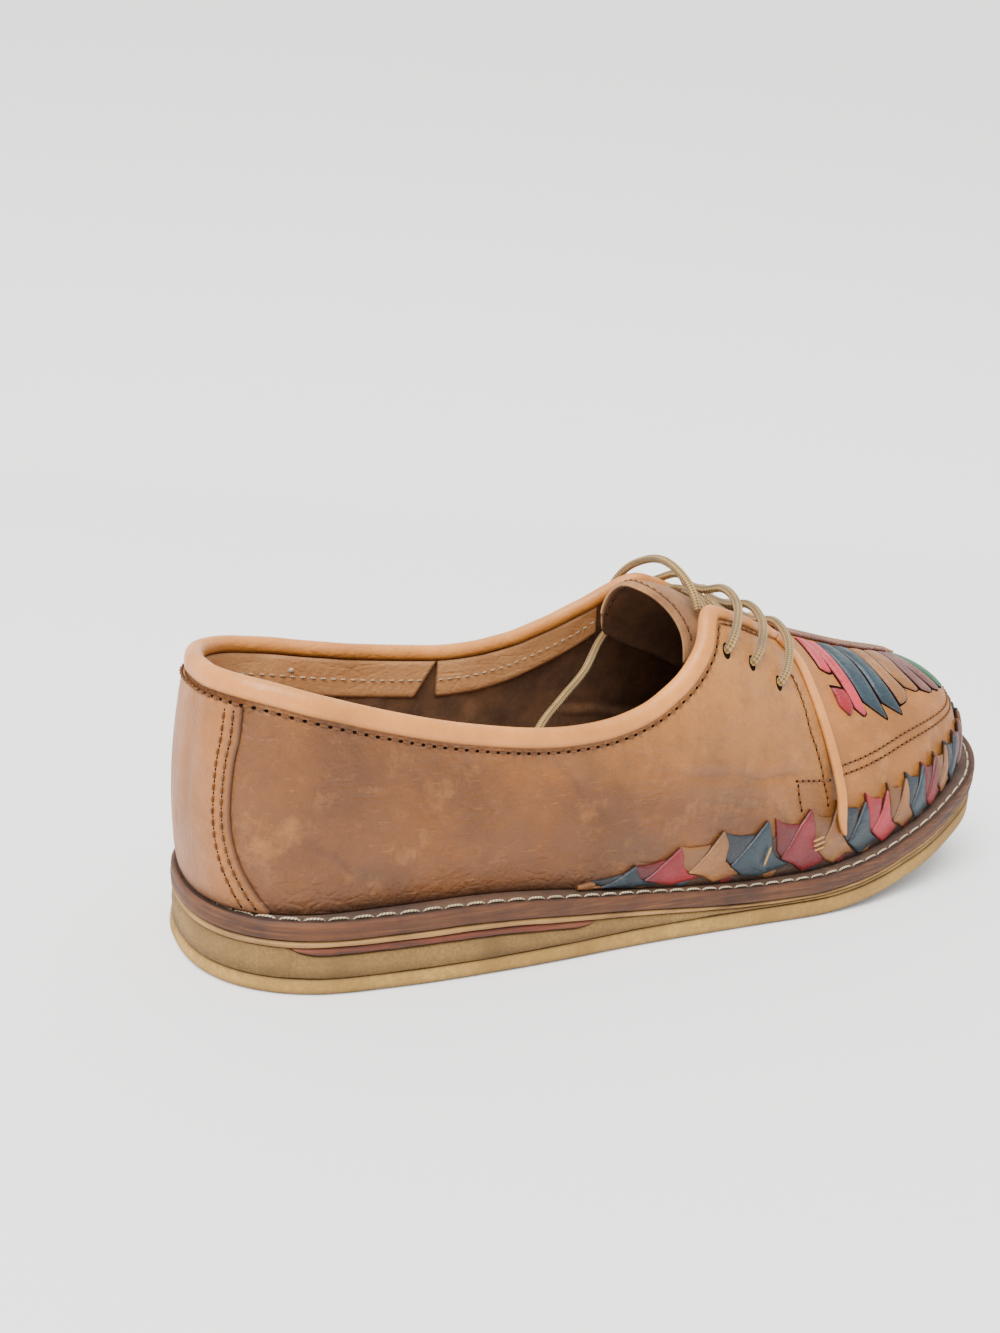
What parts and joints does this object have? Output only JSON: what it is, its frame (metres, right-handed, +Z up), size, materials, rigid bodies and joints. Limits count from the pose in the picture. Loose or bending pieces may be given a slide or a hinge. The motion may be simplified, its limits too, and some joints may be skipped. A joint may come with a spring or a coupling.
{
  "type": "huarache lace-up shoe",
  "caption": "Right lace-up leather huarache shoe: closed quarters with a rolled binding, vamp of woven leather strips over a plaited foot, low wedge sole with a stitched ledge.",
  "frame": {"origin": "on the floor, under the middle of the bounding box of the shoe, measured without the loose lace loop and the lace end", "axes": "+X runs from the heel to the toe and is the longest extent, +Z is up, and -Y is the outer (lateral) side of this right foot"},
  "size_m": [0.2948, 0.1022, 0.1057],
  "materials": {
    "outsole": "pale yellow rubber with a fine grain, matt",
    "wedge": "khaki pressed crepe, coarse and matt",
    "shim": "red-brown scrap leather, raw cut edge",
    "runner": "thin light tan leather board, raw edge",
    "midsole": "stacked reddish brown leather, dyed grey-brown on top",
    "insole": "worn brown leather",
    "upper": "caramel vegetable-tanned leather with scuffs",
    "tongue": "leather with a suede edge and a dark flesh side",
    "binding": "light tan rolled leather, smooth",
    "backstay": "pinkish tan leather, stitched along both edges",
    "woven": "folded dyed leather strips, red, teal and tan",
    "lace": "round waxed cotton, braided"
  },
  "bodies": {
    "root": {"outsole": "outsole", "wedge": "wedge", "shim": "shim", "runner": "runner", "midsole": "midsole", "insole": "insole", "upper": "upper", "tongue": "tongue", "topline_binding": "binding", "front_binding_lateral": "binding", "front_binding_medial": "binding", "backstay": "backstay", "woven_band": "woven", "lace_bar_1": "lace", "lace_bar_2": "lace", "lace_bar_3": "lace", "lace_loop": "lace", "lace_end": "lace"}
  },
  "joints": []
}
